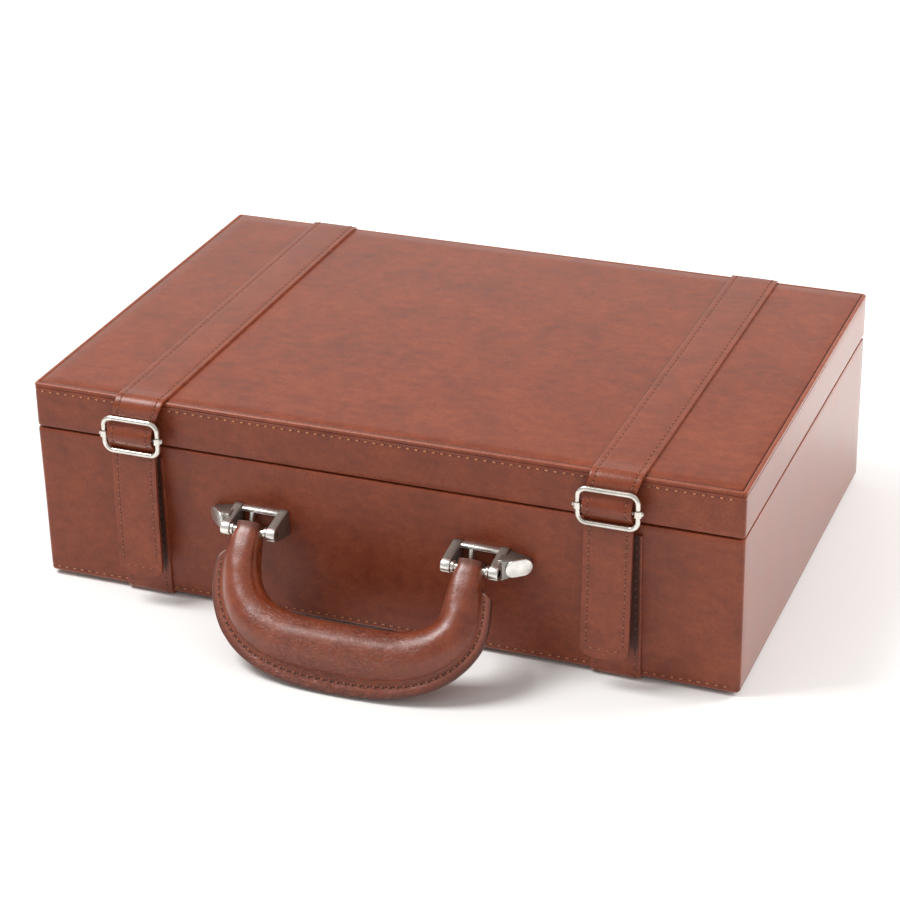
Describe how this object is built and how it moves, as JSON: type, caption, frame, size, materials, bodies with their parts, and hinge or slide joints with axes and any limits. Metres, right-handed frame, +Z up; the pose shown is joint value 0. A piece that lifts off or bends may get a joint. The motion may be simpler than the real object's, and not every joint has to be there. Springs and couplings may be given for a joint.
{
  "type": "poker chip case",
  "caption": "Leather-wrapped poker chip case with a hinged lid, buckled straps, a padded carrying handle and chip trays inside.",
  "frame": {"origin": "centre of the base's underside; the case stands on its two base straps, 1.6 mm below", "axes": "+X along the case's width to the right, +Y to the back where the lid is hinged, +Z up; the handle is at -Y"},
  "size_m": [0.38, 0.3164, 0.1146],
  "materials": {
    "leather": "mottled cognac-brown leather, semi-gloss, with an orange-brown sewing thread",
    "nickel": "polished nickel plate",
    "steel": "plain steel",
    "magnet": "plated magnet disc",
    "board": "fibreboard",
    "lining": "dark brown velvet cloth",
    "pad": "dark brown velvet over foam",
    "flock": "flocked foam board",
    "ribbon": "satin ribbon"
  },
  "bodies": {
    "base": {"base_core": "board", "base_cover": "leather", "base_lining": "lining", "base_strap_left": "leather", "base_strap_right": "leather", "base_magnet_left": "magnet", "base_magnet_right": "magnet", "handle_bracket_left": "nickel", "handle_bracket_right": "nickel", "bracket_screws": "steel", "backing_plates": "steel", "handle_pin_left": "nickel", "handle_pin_right": "nickel", "lower_tray": "flock", "hinge_leaf_base": "nickel", "hinge_pin": "nickel", "hinge_screws_base": "nickel"},
    "lid": {"lid_core": "board", "lid_top_cover": "leather", "lid_side_cover": "leather", "lid_lining": "lining", "lid_pad": "pad", "lid_strap_left": "leather", "lid_strap_right": "leather", "hinge_leaf_lid": "nickel", "hinge_screws_lid": "nickel"},
    "tail_left": {"strap_tail_left": "leather", "buckle_frame_left": "nickel", "buckle_bar_left": "nickel", "tail_magnet_left": "magnet"},
    "tail_right": {"strap_tail_right": "leather", "buckle_frame_right": "nickel", "buckle_bar_right": "nickel", "tail_magnet_right": "magnet"},
    "handle": {"handle_cover": "leather", "handle_core": "steel", "handle_washers": "nickel"},
    "tray": {"upper_tray": "flock", "tray_pull_tabs": "ribbon"}
  },
  "joints": [
    {"name": "lid_hinge", "type": "hinge", "parent": "base", "child": "lid", "pos_m": [0, 0.122, 0.086], "axis": [-1, 0, 0], "range_deg": [0, 100]},
    {"name": "tail_left_fold", "type": "hinge", "parent": "lid", "child": "tail_left", "pos_m": [-0.127, -0.1246, 0.1122], "axis": [-1, 0, 0], "range_deg": [0, 120]},
    {"name": "tail_right_fold", "type": "hinge", "parent": "lid", "child": "tail_right", "pos_m": [0.127, -0.1246, 0.1122], "axis": [-1, 0, 0], "range_deg": [0, 120]},
    {"name": "handle_swing", "type": "hinge", "parent": "base", "child": "handle", "pos_m": [0, -0.141, 0.0546], "axis": [1, 0, 0], "range_deg": [-134, 36]},
    {"name": "tray_lift", "type": "slide", "parent": "base", "child": "tray", "axis": [0, 0, 1], "range_m": [0, 0.012]}
  ]
}
